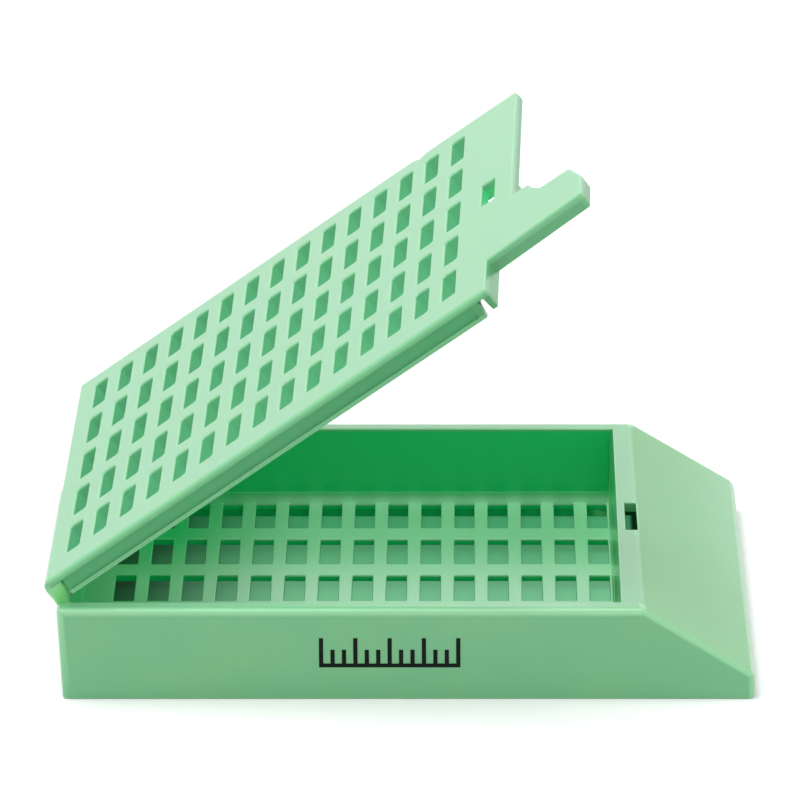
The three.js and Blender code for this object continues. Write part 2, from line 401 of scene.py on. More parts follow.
@dataclass(frozen=True)
class PrintedInk:
    """Flat black ink, a little uneven, as a marking printer leaves it."""

    name: str = "printed_ink"
    dense: Colour = (0.002, 0.005, 0.003)
    thin: Colour = (0.006, 0.016, 0.010)
    roughness: float = 0.55
    unevenness: float = 0.25
    speckle: float = 0.12 * MM
    speckle_band: Band = (0.45, 0.75)
    ior: float = 1.22

    def material(self) -> bpy.types.Material:
        """Make the material.

        Returns:
            The material.
        """
        made = bpy.data.materials.new(self.name)
        made.use_nodes = True
        shader = Shader(made.node_tree)
        speckle = shader.cloud(shader.place()[0], self.speckle)
        tint = shader.mix(speckle.rising(self.speckle_band), self.dense, self.thin)
        rough = self.roughness + (speckle - 0.5) * self.unevenness
        inputs = {"Base Color": tint, "Roughness": rough, "IOR": self.ior}
        ink = shader.node("ShaderNodeBsdfPrincipled", None, inputs)
        shader.node("ShaderNodeOutputMaterial", None, {"Surface": ink})
        return made


@dataclass(frozen=True)
class PalePaper:
    """White studio paper. It is seen as white round the object and keeps the object's shadow.

    Under the tray it is painted green, with a painted green glow for the light that comes through the
    plastic, and painted darker under the lid.
    """

    name: str = "pale_paper"
    colour: Colour = (0.83, 0.84, 0.83)
    fibre: Colour = (0.82, 0.83, 0.82)
    fibre_size: float = 0.9 * MM
    # Painted light under the tray, and painted shade under the lid.
    painted_green: Colour = (0.07, 0.24, 0.13)
    painted_green_shade: Colour = (0.01, 0.15, 0.05)
    deep_band: Band = (2.0 * MM, 16.0 * MM)
    glow_near: Colour = (0.170, 0.430, 0.245)
    glow_far: Colour = (0.035, 0.215, 0.085)
    glow_start: float = 10.0 * MM
    glow_end: Band = (33.9 * MM, 34.2 * MM)
    glow_lost: float = 0.94
    foot_band: Band = (-0.60 * MM, -0.25 * MM)
    lift: float = 0.15

    def material(self, low: Vector, high: Vector) -> bpy.types.Material:
        """Make the material.

        Args:
            low: Lowest corner of the tray that stands on the paper.
            high: Its highest corner.

        Returns:
            The material.
        """
        made = bpy.data.materials.new(self.name)
        made.use_nodes = True
        shader = Shader(made.node_tree)
        point, x, y, _ = shader.place()
        middle, half = (low + high) / 2, (high - low) / 2
        outside = x.distance_from(middle.x).rising(self.foot_band, half.x)
        outside = outside.either(y.distance_from(middle.y).rising(self.foot_band, half.y))
        seen = shader.ray("Camera")

        open_paper = shader.mix(shader.cloud(point, self.fibre_size), self.fibre, self.colour)
        # Painted green under the tray, darker under the lid as painted shade.
        under_lid = x.falling(self.deep_band, low.x)
        tint = shader.mix(under_lid, self.painted_green, self.painted_green_shade)
        tint = shader.mix(outside, tint, open_paper)
        paper = shader.node("ShaderNodeBsdfDiffuse", None, {"Color": tint})
        lift = outside * (seen * self.lift)
        white = shader.node("ShaderNodeEmission", None, {"Color": WHITE, "Strength": lift})
        # A painted green glow, seen through the holes, lost under the lid and the wedge.
        under_wedge = x.rising(self.glow_end, low.x)
        glow = (1 - outside) * seen * (1 - under_wedge.either(under_lid) * self.glow_lost)
        across = y.rising((low.y + self.glow_start, high.y))
        through = shader.mix(across, self.glow_near, self.glow_far)
        green = shader.node("ShaderNodeEmission", None, {"Color": through, "Strength": glow})
        lights = shader.node("ShaderNodeAddShader", None, {0: white, 1: green})
        shown = shader.node("ShaderNodeAddShader", None, {0: paper, 1: lights})
        shader.node("ShaderNodeOutputMaterial", None, {"Surface": shown})
        return made


# ---- Mesh building ----


Corners = dict[tuple[int, ...], bmesh.types.BMVert]


def linked_piece(name: str, bm: bmesh.types.BMesh, smooth: bool) -> bpy.types.Object:
    """Turn a drawn mesh into a piece of the scene.

    Args:
        name: The piece's name.
        bm: The mesh, which is used up.
        smooth: Whether its faces are shaded smoothly.

    Returns:
        The piece.
    """
    for face in bm.faces:
        face.smooth = smooth
    mesh = bpy.data.meshes.new(name)
    bm.to_mesh(mesh)
    bm.free()
    piece = bpy.data.objects.new(name, mesh)
    bpy.context.scene.collection.objects.link(piece)
    return piece


@dataclass
class CellSolid:
    """A solid made of filled cells between straight cuts, then shaped and rounded.

    The cuts give a box of cells. Those that are filled make the solid, its skin is drawn with one
    quad a cell side, and each corner is then moved to its true place.
    """

    cuts: tuple[list[float], list[float], list[float]]
    filled: Callable[[float, float, float], bool]
    place: Callable[[float, float, float], Vector]
    rounding: Callable[[Vector, int, set[int]], float]
    spare: Callable[[Vector, int, set[int]], bool]
    segments: int = 4
    largest: float = 0.5 * MM

    def object(self, name: str) -> bpy.types.Object:
        """Build the rounded mesh.

        Args:
            name: The piece's name.

        Returns:
            The piece, linked to the scene.
        """
        bm = bmesh.new()
        self._skin(bm)
        bmesh.ops.recalc_face_normals(bm, faces=bm.faces)
        self._clear_flat_lines(bm)
        self._weigh(bm)
        for vert in bm.verts:
            vert.co = self.place(*vert.co)
        return self._rounded(linked_piece(name, bm, smooth=True))

    def _skin(self, bm: bmesh.types.BMesh) -> None:
        """Draw the skin of the filled cells.

        Args:
            bm: The mesh to fill.
        """
        counts = [len(c) - 1 for c in self.cuts]
        middle = [[(c[i] + c[i + 1]) / 2 for i in range(len(c) - 1)] for c in self.cuts]
        full = {
            (i, j, k)
            for i in range(counts[0])
            for j in range(counts[1])
            for k in range(counts[2])
            if self.filled(middle[0][i], middle[1][j], middle[2][k])
        }
        corners: Corners = {}
        for cell in sorted(full):
            for axis in range(3):
                a, b = [n for n in range(3) if n != axis]
                for step in (0, 1):
                    beside = list(cell)
                    beside[axis] += 2 * step - 1
                    if tuple(beside) in full:
                        continue
                    ring = []
                    for da, db in ((0, 0), (1, 0), (1, 1), (0, 1)):
                        key = list(cell)
                        key[axis] += step
                        key[a] += da
                        key[b] += db
                        ring.append(self._corner(bm, corners, tuple(key)))
                    bm.faces.new(ring)

    def _corner(self, bm: bmesh.types.BMesh, corners: Corners, key: tuple[int, ...]) -> bmesh.types.BMVert:
        """Find or make the shared corner at a crossing of three cuts.

        Args:
            bm: The mesh to add to.
            corners: The corners made so far.
            key: The number of the cut along each axis.

        Returns:
            The corner.
        """
        if key not in corners:
            corners[key] = bm.verts.new([self.cuts[axis][number] for axis, number in enumerate(key)])
        return corners[key]

    def _describe(self, edge: bmesh.types.BMEdge) -> tuple[Vector, int, set[int]]:
        """Say where an edge is, before the corners are moved.

        Args:
            edge: An edge of the skin.

        Returns:
            Its middle, the axis that it runs along, and the axes that its faces look along.
        """
        one, two = (v.co for v in edge.verts)
        along = max(range(3), key=lambda a: abs(two[a] - one[a]))
        facing = {max(range(3), key=lambda a: abs(f.normal[a])) for f in edge.link_faces}
        return (one + two) / 2, along, facing

    def _clear_flat_lines(self, bm: bmesh.types.BMesh) -> None:
        """Take out lines on flat faces that would stand in the way of a rounding.

        Args:
            bm: The mesh to change.
        """
        bm.normal_update()
        flat = []
        for edge in bm.edges:
            mid, along, facing = self._describe(edge)
            if len(facing) == 1 and self.spare(mid, along, facing):
                flat.append(edge)
        bmesh.ops.dissolve_edges(bm, edges=flat, use_verts=True, use_face_split=False)

    def _weigh(self, bm: bmesh.types.BMesh) -> None:
        """Give every edge that turns its rounding, as a share of the largest.

        Args:
            bm: The mesh to change.
        """
        bm.normal_update()
        layer = bm.edges.layers.float.new("bevel_weight_edge")
        for edge in bm.edges:
            mid, along, facing = self._describe(edge)
            edge[layer] = min(1.0, self.rounding(mid, along, facing) / self.largest)

    def _rounded(self, piece: bpy.types.Object) -> bpy.types.Object:
        """Round the weighted edges.

        Args:
            piece: The shaped piece.

        Returns:
            The same piece, with its roundings marked for the finish.
        """
        for _ in range(2):
            piece.data.materials.append(None)
        bevel = piece.modifiers.new("rounded_edges", "BEVEL")
        bevel.material = 1
        bevel.limit_method = "WEIGHT"
        bevel.width = self.largest
        bevel.segments = self.segments
        bevel.use_clamp_overlap = False
        bevel.harden_normals = True
        bevel.miter_outer = "MITER_ARC"
        return mark_roundings(apply_modifiers(piece))


def apply_modifiers(piece: bpy.types.Object) -> bpy.types.Object:
    """Replace a piece's mesh by what its modifiers make of it.

    Args:
        piece: The piece.

    Returns:
        The same piece, with no modifiers left.
    """
    graph = bpy.context.evaluated_depsgraph_get()
    made = bpy.data.meshes.new_from_object(piece.evaluated_get(graph))
    old = piece.data
    piece.modifiers.clear()
    piece.data = made
    made.name = piece.name
    bpy.data.meshes.remove(old)
    return piece


def mark_roundings(piece: bpy.types.Object) -> bpy.types.Object:
    """Note which points lie on the rounding of an outer edge, for the painted highlight of the finish.

    Args:
        piece: A rounded piece whose rounding faces have the second material slot.

    Returns:
        The same piece, with the slots emptied.
    """
    bm = bmesh.new()
    bm.from_mesh(piece.data)
    layer = bm.verts.layers.float.new(ON_ROUNDING)
    for vert in bm.verts:
        turn = sum(edge.calc_face_angle_signed(0.0) for edge in vert.link_edges)
        rounded = all(face.material_index == 1 for face in vert.link_faces)
        vert[layer] = 1.0 if rounded and turn > LEAST_TURN else 0.0
    for face in bm.faces:
        face.material_index = 0
    bm.to_mesh(piece.data)
    bm.free()
    piece.data.materials.clear()
    return piece


def settle(piece: bpy.types.Object, where: Matrix) -> bpy.types.Object:
    """Move a piece's mesh from its own frame to the part's frame, and keep its own places for the finish.

    Args:
        piece: The piece, with its mesh in its own frame.
        where: The move.

    Returns:
        The same piece, with its object at the origin.
    """
    own = piece.data.attributes.new(OWN_PLACE, "FLOAT_VECTOR", "POINT")
    for vert in piece.data.vertices:
        own.data[vert.index].vector = vert.co
    piece.data.transform(where)
    return piece


def merged(*groups: list[float], least: float = 0.02 * MM) -> list[float]:
    """Sort cuts from several lists into one, leaving out repeats.

    Args:
        groups: The lists of cuts.
        least: Cuts nearer than this to the one before are dropped.

    Returns:
        The cuts in order.
    """
    kept: list[float] = []
    for cut in sorted(c for group in groups for c in group):
        if not kept or cut - kept[-1] > least:
            kept.append(cut)
    return kept


@dataclass(frozen=True)
class HoleRow:
    """Equal holes at an equal pitch along one direction."""

    first: float
    size: float
    pitch: float
    count: int

    def cuts(self) -> list[float]:
        """Where every hole begins and ends."""
        starts = [self.first + n * self.pitch for n in range(self.count)]
        return [edge for start in starts for edge in (start, start + self.size)]

    def inside(self, place: float) -> bool:
        """Whether a place lies in a hole."""
        number = math.floor((place - self.first) / self.pitch)
        return 0 <= number < self.count and place - self.first - number * self.pitch < self.size

    def end(self) -> float:
        """Where the last hole ends."""
        return self.first + (self.count - 1) * self.pitch + self.size

    def spans(self, place: float) -> bool:
        """Whether a place lies between the start of the first hole and the end of the last."""
        return self.first - TINY < place < self.end() + TINY


def lies_at(place: float, *levels: float) -> bool:
    """Whether a place is on one of some levels."""
    return any(abs(place - level) < SAME_PLACE for level in levels)


# ---- Hinge ----


@dataclass
class Hinge:
    """The hinge line of the lid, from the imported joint."""

    point: Vector
    axis: Vector
    shut_angle: float

    @classmethod
    def from_joint(cls, joint: dict[str, Any]) -> "Hinge":
        """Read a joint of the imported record.

        Args:
            joint: The joint's entry.

        Returns:
            The hinge.
        """
        axis = Vector(joint["axis"]).normalized()
        return cls(Vector(joint["pos_m"]), axis, math.radians(joint["range_deg"][0]))

    def swing(self, angle: float) -> Matrix:
        """The motion of the lid when it turns by an angle in radians."""
        to_point = Matrix.Translation(self.point)
        return to_point @ Matrix.Rotation(angle, 4, self.axis) @ to_point.inverted()

    def shut_box(self, node: bpy.types.Object) -> tuple[Vector, Vector]:
        """The box of a node once the lid is shut.

        Args:
            node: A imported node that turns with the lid.

        Returns:
            Its lowest and highest corners.
        """
        turn = self.swing(self.shut_angle)
        spots = [turn @ v.co for v in node.data.vertices]
        low = Vector(min(p[a] for p in spots) for a in range(3))
        high = Vector(max(p[a] for p in spots) for a in range(3))
        return low, high


# ---- Tray ----


@dataclass(frozen=True)
class TrayShades:
    """Where painted shade darkens the tray's plastic, where painted light makes it paler, and where it
    turns matt.

    Each band is a soft step, counted from the level of the tray that its name gives.
    """

    well_edge: Band = (0.01 * MM, 0.30 * MM)
    wall_rim: Band = (-0.30 * MM, -0.03 * MM)
    wall_foot: Band = (0.05 * MM, 0.85 * MM)
    end_wall: Band = (-0.20 * MM, -0.13 * MM)
    end_wall_lost: float = 0.45
    below_floor: Band = (-0.22 * MM, -0.03 * MM)
    floor_under: Band = (-0.03 * MM, 0.0)
    back_foot: Band = (-0.10 * MM, -0.02 * MM)
    back_foot_lost: float = 0.60
    # Painted shadow of the lid on the floor at the hinge end, and painted shade towards the back wall.
    hinge_side: Band = (3.0 * MM, 16.0 * MM)
    hinge_side_share: float = 0.95
    back_side: Band = (-9.0 * MM, -2.0 * MM)
    back_side_share: float = 0.16
    over_kerb: Band = (0.0, MM)
    slot_start: Band = (-0.08 * MM, -0.02 * MM)
    slot_far: Band = (-0.10 * MM, -0.02 * MM)
    slot_far_lost: float = 0.75
    hollow_side: Band = (0.0, 0.10 * MM)
    under_skin: Band = (0.12 * MM, 0.60 * MM)
    floor_face: Band = (-0.20 * MM, -0.03 * MM)
    kerb_face: Band = (0.02 * MM, 0.12 * MM)
    kerb_rise: Band = (0.05 * MM, 0.65 * MM)
    kerb_lost: float = 0.80
    floor_start: Band = (5.0 * MM, 16.0 * MM)
    floor_end: Band = (-0.10 * MM, 0.0)
    floor_front: Band = (0.0, 0.10 * MM)
    floor_share: float = 0.95
    rim_face: Band = (-0.30 * MM, -0.05 * MM)
    rim_width: Band = (0.0, 0.20 * MM)
    rim_start: float = 8.0 * MM
    rim_stop: float = 2.0 * MM
    rim_lost: float = 0.65
    rim_end: Band = (-4.0 * MM, MM)
    top_face: Band = (0.02 * MM, 0.12 * MM)
    crest: Band = (0.0, 0.12 * MM)


@dataclass
class Tray:
    """The perforated tray with its flat strip, latch slot and sloping writing face.

    Its own frame has the origin at the foot of the front hinge corner.
    """

    corner: Vector
    length: float
    width: float
    height: float
    body: str
    node: str
    finish: MouldedPlastic

    outer_lean: float = 0.25 * MM
    long_wall: float = 1.1 * MM
    foot_wall: float = 0.62 * MM
    end_wall: float = 0.73 * MM
    well_lean: float = 0.12 * MM
    kerb_height: float = 0.7 * MM
    kerb_depth: float = 0.12 * MM
    kerb_edge: float = 0.03 * MM
    floor_top: float = 0.94 * MM
    floor_thickness: float = 0.44 * MM
    strip_width: float = 1.31 * MM
    strip_thickness: float = 0.65 * MM
    slope_run: float = 6.63 * MM
    toe_height: float = 1.56 * MM
    toe_rise: float = 0.35 * MM
    toe_inset: float = 0.07 * MM
    toe_retreat: float = 0.29 * MM
    toe_thickness: float = 0.6
    crest_retreat: float = 0.22 * MM
    head_wall: float = 0.8 * MM
    slot_length: float = 4.1 * MM
    slot_off_middle: float = -0.45 * MM
    slot_from_well: float = 0.50 * MM
    hole_length: float = 1.23 * MM
    hole_pitch: float = 2.047 * MM
    hole_width: float = 3.85 * MM
    holes_along: int = 15
    holes_across: int = 5
    last_hole_margin: float = 0.34 * MM

    corner_round: float = 0.5 * MM
    rim_round: float = 0.48 * MM
    end_rim_round: float = 0.34 * MM
    crest_round: float = 0.30 * MM
    slope_round: float = 0.32 * MM
    toe_round: float = 0.38 * MM
    toe_front_round: float = 0.42 * MM
    toe_back_round: float = 0.28 * MM
    toe_foot_round: float = 0.30 * MM
    foot_round: float = 0.12 * MM
    inner_round: float = 0.10 * MM
    hole_round: float = 0.07 * MM
    floor_round: float = 0.03 * MM
    kerb_round: float = 0.012 * MM
    least_round: float = 0.05 * MM

    shades: TrayShades = TrayShades()

    def __post_init__(self) -> None:
        """Work out the levels and the rows of holes."""
        self.strip_end = self.length - self.slope_run
        self.well_end = self.strip_end - self.strip_width
        self.slot_start = self.well_end + self.slot_from_well
        self.slot_near = self.width / 2 + self.slot_off_middle - self.slot_length / 2
        self.slot_far = self.slot_near + self.slot_length
        self.inset = self.well_lean + self.kerb_depth
        self.kerb_top = self.floor_top + self.kerb_height
        self.floor_under = self.floor_top - self.floor_thickness
        self.roof = self.height - self.strip_thickness
        last = self.well_end - self.last_hole_margin - self.hole_length
        start = last - (self.holes_along - 1) * self.hole_pitch
        self.along = HoleRow(start, self.hole_length, self.hole_pitch, self.holes_along)
        start = self.long_wall + self.inset
        pitch = (self.width - 2 * start - self.hole_width) / (self.holes_across - 1)
        self.across = HoleRow(start, self.hole_width, pitch, self.holes_across)

    def _filled(self, x: float, y: float, z: float) -> bool:
        """Whether there is plastic at a place of the uncut box.

        Args:
            x: Place from the hinge end.
            y: Place from the front.
            z: Height.

        Returns:
            Whether the cell there is filled.
        """
        between_walls = self.long_wall < y < self.width - self.long_wall
        if x > self.well_end:
            hollow = self.slot_start < x < self.length - self.head_wall and between_walls
            slot = self.slot_start < x < self.strip_end and self.slot_near < y < self.slot_far
            return not (hollow and z < self.roof or slot and z > self.roof)
        if x < self.end_wall or not between_walls:
            return True
        past_end_kerbs = self.end_wall + self.inset < x < self.well_end - self.inset
        side = self.long_wall + self.inset
        if z > self.floor_top:
            return z < self.kerb_top and not (past_end_kerbs and side < y < self.width - side)
        if z < self.floor_under:
            return not (past_end_kerbs and self.foot_wall < y < self.width - self.foot_wall)
        return not (self.along.inside(x) and self.across.inside(y))

    def _top_at(self, x: float, y: float) -> float:
        """Height of the top face, which slopes down to the toe, and less so at the back.

        Args:
            x: Place from the hinge end.
            y: Place from the front.

        Returns:
            The height there.
        """
        back = y / self.width
        start = self.strip_end - self.crest_retreat * back
        end = self.length - self.toe_inset - self.toe_retreat * back
        share = min(1.0, max(0.0, (x - start) / (end - start)))
        return self.height + (self.toe_height + self.toe_rise * back - self.height) * share

    def _level(self, x: float, y: float, z: float) -> float:
        """True height of a corner, which the slope brings down past the crest.

        Args:
            x: Place of the corner from the hinge end.
            y: Place from the front.
            z: Height in the uncut box.

        Returns:
            The height.
        """
        if x < self.strip_end + TINY:
            return z
        top = self._top_at(x, y)
        if lies_at(z, self.height):
            return top
        slope = math.atan2(self.height - self.toe_height, self.slope_run)
        thickness = min(self.head_wall / math.cos(slope), top * self.toe_thickness)
        return z * (top - thickness) / self.roof

    def _place(self, x: float, y: float, z: float) -> Vector:
        """Move a corner of the uncut box to its true place.

        Args:
            x: Place of the corner from the hinge end.
            y: Place from the front.
            z: Height in the uncut box.

        Returns:
            The true place.
        """
        level = self._level(x, y, z)
        spot = Vector((x, y, level))
        lean = self.outer_lean * (1 - level / self.height)
        wall = self.well_lean * min(1.0, (self.height - z) / (self.height - self.kerb_top))
        kerb = self.well_lean + (self.kerb_edge if lies_at(z, self.kerb_top) else self.kerb_depth)
        at_well = x < self.well_end + TINY
        for axis, far, near_wall, far_wall in (
            (0, self.length, self.end_wall, self.well_end),
            (1, self.width, self.long_wall, self.width - self.long_wall),
        ):
            value = (x, y)[axis]
            if axis == 0 and not at_well:
                continue
            if lies_at(value, 0.0):
                spot[axis] = lean
            elif lies_at(value, far):
                spot[axis] = far - lean
            elif at_well and lies_at(value, near_wall):
                spot[axis] = near_wall + wall
            elif at_well and lies_at(value, far_wall):
                spot[axis] = far_wall - wall
            elif at_well and lies_at(value, near_wall + self.inset):
                spot[axis] = near_wall + kerb
            elif at_well and lies_at(value, far_wall - self.inset):
                spot[axis] = far_wall - kerb
        if lies_at(x, self.strip_end):
            spot.x -= self.crest_retreat * y / self.width
        elif lies_at(x, self.length):
            spot.x -= self.toe_inset + self.toe_retreat * y / self.width
        return spot

    def _rounding(self, mid: Vector, along: int, facing: set[int]) -> float:
        """How much an edge of the tray is rounded.

        Args:
            mid: Its middle in the uncut box.
            along: The axis that it runs along.
            facing: The axes that its faces look along.

        Returns:
            The width of the rounding.
        """
        at_end = lies_at(mid.x, 0.0, self.length)
        at_side = lies_at(mid.y, 0.0, self.width)
        top = lies_at(mid.z, self.height)
        on_slope = mid.x > self.strip_end + TINY
        if len(facing) == 1:
            crest = top and along == 1 and lies_at(mid.x, self.strip_end)
            return self.crest_round if crest else 0.0
        if along == 2:
            if not (at_end and at_side):
                return self.inner_round
            if not on_slope:
                return self.corner_round
            return self.toe_front_round if lies_at(mid.y, 0.0) else self.toe_back_round
        if top and at_side:
            return self.slope_round if on_slope else self.rim_round
        if top and at_end:
            return self.toe_round if on_slope else self.end_rim_round
        if lies_at(mid.z, 0.0):
            if lies_at(mid.x, self.length):
                return self.toe_foot_round
            return self.foot_round if at_end or at_side else self.least_round
        if lies_at(mid.z, self.kerb_top):
            return self.kerb_round
        if lies_at(mid.z, self.floor_top):
            among_holes = self.along.spans(mid.x) and self.across.spans(mid.y)
            return self.hole_round if among_holes else self.floor_round
        return self.inner_round if top else self.least_round

    def _spare(self, mid: Vector, along: int, facing: set[int]) -> bool:
        """Whether a flat line of the tray is only in the way: on its outer walls, and near its corners.

        Args:
            mid: Its middle in the uncut box.
            along: The axis that it runs along.
            facing: The axes that its faces look along.

        Returns:
            Whether to take it out.
        """
        outer = lies_at(mid.x, 0.0, self.length) or lies_at(mid.y, 0.0, self.width)
        by_corner = lies_at(mid.y, self.foot_wall, self.width - self.foot_wall) and along != 1
        beneath = lies_at(mid.z, 0.0) and lies_at(mid.x, self.end_wall) and along == 1
        return by_corner or beneath or outer and along != 2 and facing != {2}

    def build(self) -> bpy.types.Object:
        """Build and dress the tray.

        Returns:
            The tray, riding on its body.
        """
        kerb = self.long_wall + self.inset
        cuts_x = merged(
            [0.0, self.end_wall, self.end_wall + self.inset, self.well_end - self.inset, self.well_end],
            [self.slot_start, self.strip_end, self.length - self.head_wall, self.length],
            self.along.cuts(),
        )
        cuts_y = merged(
            [0.0, self.foot_wall, self.long_wall, kerb, self.slot_near, self.slot_far],
            [self.width - kerb, self.width - self.long_wall, self.width - self.foot_wall, self.width],
            self.across.cuts(),
        )
        cuts_z = [0.0, self.floor_under, self.floor_top, self.kerb_top, self.roof, self.height]
        solid = CellSolid((cuts_x, cuts_y, cuts_z), self._filled, self._place, self._rounding, self._spare)
        tray = solid.object("moulded_tray")
        settle(tray, Matrix.Translation(self.corner))
        tray.data.materials.append(self.finish.material(self._painted_shade_and_glow, self._matt, self._painted_light))
        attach(tray, self.body)
        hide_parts(self.node)
        return tray

    def _painted_shade_and_glow(self, x: Value, y: Value, z: Value) -> Value:
        """How much painted shade and painted glow a point gets in the well, the slot or the hollow of the
        wedge.

        Args:
            x: Its place from the hinge end.
            y: Its place from the front.
            z: Its height.

        Returns:
            0 on open skin and 1 where the painted shade is darkest.
        """
        soft = self.shades
        half = (self.well_end - self.end_wall) / 2
        across = self.width / 2 - self.long_wall
        in_well = x.distance_from(self.end_wall + half).falling(soft.well_edge, half)
        in_well = in_well * y.distance_from(self.width / 2).falling(soft.well_edge, across)
        wall = z.falling(soft.wall_rim, self.height) * z.rising(soft.wall_foot, self.floor_top)
        # The far end wall, and the lit foot of the back wall, get less painted shade.
        wall = wall * (1 - x.rising(soft.end_wall, self.well_end) * soft.end_wall_lost)
        lit_foot = y.rising(soft.back_foot, self.width - self.foot_wall)
        lit_foot = lit_foot * z.falling(soft.floor_under, self.floor_under) * soft.back_foot_lost
        below = z.falling(soft.below_floor, self.floor_top) * (1 - lit_foot)
        # Painted shadow of the lid over the floor at the hinge end, and painted shade towards the back.
        floor = x.falling(soft.hinge_side) * soft.hinge_side_share
        floor = floor + y.rising(soft.back_side, self.width) * soft.back_side_share
        floor = floor * z.falling(soft.over_kerb, self.kerb_top)
        well = in_well * wall.either(below).either(floor)
        hollow = x.rising(soft.slot_start, self.slot_start)
        hollow = hollow * x.falling((-self.head_wall, -self.head_wall / 2), self.length)
        hollow = hollow * y.distance_from(self.width / 2).falling(soft.hollow_side, across)
        hollow = hollow * (1 - y.rising(soft.slot_far, self.slot_far) * soft.slot_far_lost)
        return well.either(hollow * self._under_skin(x, y, z).rising(soft.under_skin))

    def _under_skin(self, x: Value, y: Value, z: Value) -> Value:
        """How far below the top face of the strip or of the slope a point lies.

        Args:
            x: Its place from the hinge end.
            y: Its place from the front.
            z: Its height.

        Returns:
            The distance.
        """
        fall = (self.height - self.toe_height) / self.slope_run
        ease = self.toe_rise / self.width / self.slope_run
        return self.height - self._past_crest(x, y).either(0.0) * (fall - y * ease) - z

    def _past_crest(self, x: Value, y: Value) -> Value:
        """How far towards the toe a point lies from the crest between the strip and the slope."""
        return x - self.strip_end + y * (self.crest_retreat / self.width)

    def _painted_light(self, x: Value, y: Value, z: Value) -> Value:
        """How much painted light a point gets: on the face of the floor, and along the flat of the front
        rim, where the walls and the lid shade them.

        Args:
            x: A point's place from the hinge end.
            y: Its place from the front.
            z: Its height.

        Returns:
            0 where no light is painted and 1 where the most is.
        """
        soft = self.shades
        floor = z.rising(soft.floor_face, self.floor_top) * z.falling(soft.kerb_face, self.kerb_top)
        floor = floor * x.rising(soft.floor_start) * x.falling(soft.floor_end, self.well_end)
        floor = floor * y.rising(soft.floor_front, self.long_wall)
        floor = floor * y.falling(soft.floor_end, self.width - self.long_wall)
        floor = floor * (soft.floor_share - z.rising(soft.kerb_rise, self.floor_top) * soft.kerb_lost)
        # Painted light along the flat of the front rim, strongest at the hinge end under the lid.
        rim = z.rising(soft.rim_face, self.height) * y.falling(soft.rim_width, self.long_wall)
        rim = rim * (1 - x.rising((soft.rim_start, self.well_end - soft.rim_stop)) * soft.rim_lost)
        return floor.either(rim * x.falling(soft.rim_end, self.well_end))

    def _matt(self, x: Value, y: Value, z: Value) -> Value:
        """1 on the writing face, which is left matt for a pencil."""
        on_top = self._under_skin(x, y, z).falling(self.shades.top_face)
        return on_top * self._past_crest(x, y).rising(self.shades.crest)


# ---- Lid ----


@dataclass(frozen=True)
class LidShades:
    """Where painted shade darkens the lid's plastic, where painted light makes it paler, and where it
    turns matt.

    Each band is a soft step, counted from the level of the lid that its name gives, or else from the
    hinge edge, the front side or the top face.
    """

    sunk_shade: Band = (-0.32 * MM, -0.07 * MM)
    front: Band = (0.6 * MM, 1.2 * MM)
    back: Band = (27.4 * MM, 28.0 * MM)
    start: Band = (0.6 * MM, 1.1 * MM)
    end: Band = (33.0 * MM, 33.3 * MM)
    window_wall: Band = (-0.12 * MM, -0.03 * MM)
    window_wall_top: Band = (-0.55 * MM, -0.25 * MM)
    window_start: Band = (-0.15 * MM, 0.0)
    window_near: Band = (-0.4 * MM, -0.1 * MM)
    window_far: Band = (0.1 * MM, 0.4 * MM)
    window_share: float = 0.9
    flange_face: Band = (-0.66 * MM, -0.50 * MM)
    flange_start: Band = (29.9 * MM, 30.3 * MM)
    flange_share: float = 0.5
    holes_stop: Band = (29.8 * MM, 30.2 * MM)
    holes_share: float = 0.08
    groove_side: Band = (0.02 * MM, 0.20 * MM)
    groove_back: Band = (-0.10 * MM, -0.01 * MM)
    groove_top: Band = (-0.42 * MM, -0.37 * MM)
    groove_foot: Band = (-1.3 * MM, -1.2 * MM)
    groove_share: float = 0.14
    front_face: Band = (0.37 * MM, 0.42 * MM)
    side_face: Band = (-0.35 * MM, -0.10 * MM)
    front_face_top: Band = (-0.22 * MM, -0.02 * MM)
    recess_top: Band = (-0.42 * MM, -0.36 * MM)
    recess_foot: Band = (-1.24 * MM, -1.18 * MM)
    bead_top: Band = (-1.26 * MM, -1.20 * MM)
    side_share: float = 0.62
    recess_more: float = 0.38
    bead_less: float = 0.22
    back_less: float = 0.34
    hole_wall: Band = (-0.24 * MM, -0.06 * MM)
    hole_front: Band = (1.2 * MM, 1.6 * MM)
    hole_end: Band = (29.7 * MM, 29.9 * MM)


